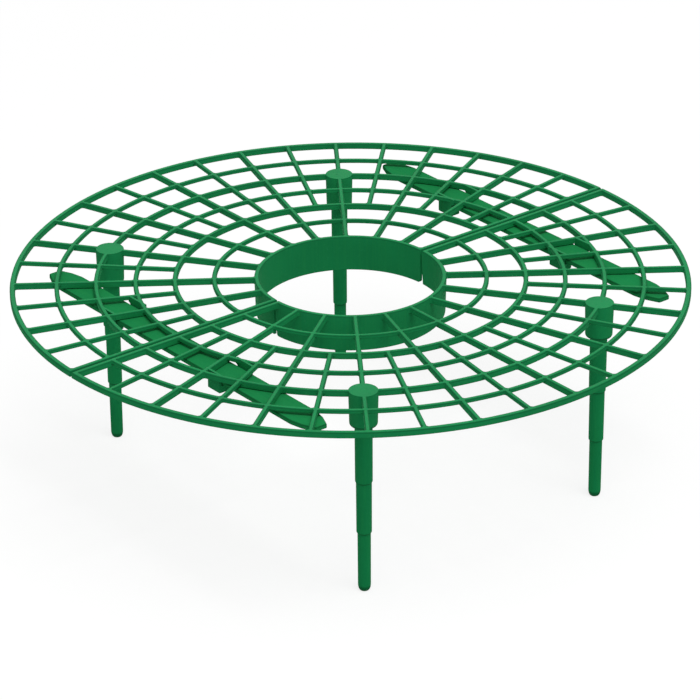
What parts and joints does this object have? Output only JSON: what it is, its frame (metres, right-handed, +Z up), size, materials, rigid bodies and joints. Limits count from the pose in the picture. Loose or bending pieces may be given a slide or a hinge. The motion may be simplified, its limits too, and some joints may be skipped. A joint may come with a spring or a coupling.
{
  "type": "strawberry plant support",
  "caption": "Round two-part grid with a central collar, on push-in legs, joined by flat locking bars; keeps fruit and leaves off the soil.",
  "frame": {"origin": "on the ground under the middle of the grid", "axes": "+Z up, X along the split between the two halves, the front half on the -Y side"},
  "size_m": [0.3, 0.3, 0.095],
  "materials": {
    "grid_plastic": "moulded, soft sheen",
    "leg_plastic": "moulded, soft sheen",
    "bar_plastic": "moulded, soft sheen"
  },
  "bodies": {
    "back_half": {"grid_half_back": "grid_plastic"},
    "front_half": {"grid_half_front": "grid_plastic"},
    "bar_right": {"locking_bar_right": "bar_plastic"},
    "bar_left": {"locking_bar_left": "bar_plastic"},
    "leg_back_right": {"leg_back_right": "leg_plastic"},
    "leg_back_left": {"leg_back_left": "leg_plastic"},
    "leg_front_left": {"leg_front_left": "leg_plastic"},
    "leg_front_right": {"leg_front_right": "leg_plastic"}
  },
  "joints": [
    {"name": "halves_apart", "type": "slide", "parent": "back_half", "child": "front_half", "axis": [0, -1, 0], "range_m": [0, 0.069]},
    {"name": "bar_right_slide", "type": "slide", "parent": "back_half", "child": "bar_right", "axis": [0, 1, 0], "range_m": [-0.138, 0.147]},
    {"name": "bar_left_slide", "type": "slide", "parent": "back_half", "child": "bar_left", "axis": [0, 1, 0], "range_m": [-0.138, 0.147]},
    {"name": "leg_back_right_pull", "type": "slide", "parent": "back_half", "child": "leg_back_right", "axis": [0, 0, -1], "range_m": [0, 0.014]},
    {"name": "leg_back_left_pull", "type": "slide", "parent": "back_half", "child": "leg_back_left", "axis": [0, 0, -1], "range_m": [0, 0.014]},
    {"name": "leg_front_left_pull", "type": "slide", "parent": "front_half", "child": "leg_front_left", "axis": [0, 0, -1], "range_m": [0, 0.014]},
    {"name": "leg_front_right_pull", "type": "slide", "parent": "front_half", "child": "leg_front_right", "axis": [0, 0, -1], "range_m": [0, 0.014]}
  ]
}
